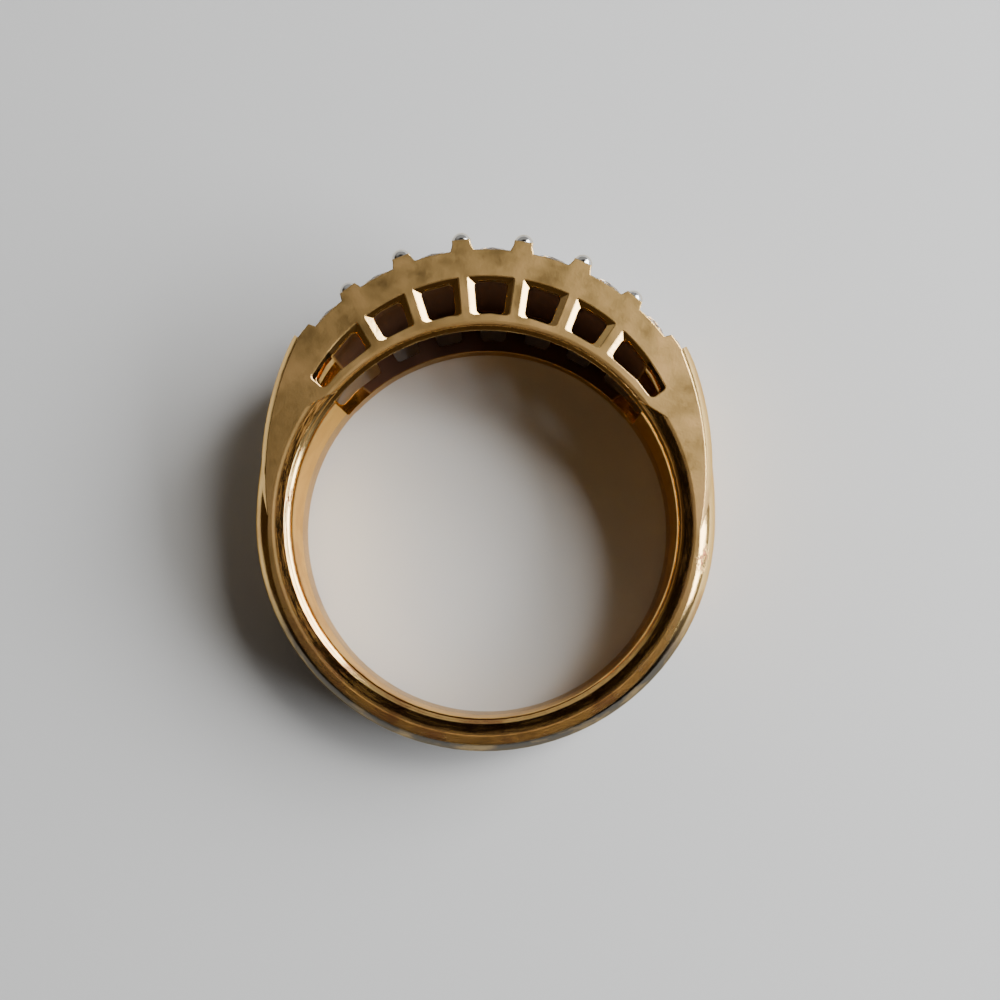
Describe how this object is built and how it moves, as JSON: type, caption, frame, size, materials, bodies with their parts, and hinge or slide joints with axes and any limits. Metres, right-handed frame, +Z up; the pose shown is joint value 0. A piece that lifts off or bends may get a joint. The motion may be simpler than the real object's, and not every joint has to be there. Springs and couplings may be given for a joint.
{
  "type": "rhinestone ring",
  "caption": "Finger ring lying on its side: a tapered gold-plated band whose hollow head has pierced side walls and rows of claw-set round rhinestones.",
  "frame": {"origin": "centre of the finger bore, halfway along it", "axes": "+Z up, away from the surface that the ring lies on; the bore leans a few degrees from +Z towards -Y; +Y towards the head and its stones; X across the ring"},
  "size_m": [0.0206, 0.0227, 0.0074],
  "materials": {
    "gold_plate": "polished gold plating with a satin finish on the side walls and bright rhodium on the claw tips",
    "rhinestone": "clear cut crystal, polished facets"
  },
  "bodies": {
    "root": {"ring_body": "gold_plate", "stone_front_1": "rhinestone", "stone_front_2": "rhinestone", "stone_front_3": "rhinestone", "stone_front_4": "rhinestone", "stone_front_5": "rhinestone", "stone_front_6": "rhinestone", "stone_front_7": "rhinestone", "stone_middle_1": "rhinestone", "stone_middle_2": "rhinestone", "stone_middle_3": "rhinestone", "stone_middle_4": "rhinestone", "stone_middle_5": "rhinestone", "stone_middle_6": "rhinestone", "stone_middle_7": "rhinestone", "stone_back_1": "rhinestone", "stone_back_2": "rhinestone", "stone_back_3": "rhinestone", "stone_back_4": "rhinestone", "stone_back_5": "rhinestone", "stone_back_6": "rhinestone", "stone_back_7": "rhinestone"}
  },
  "joints": []
}
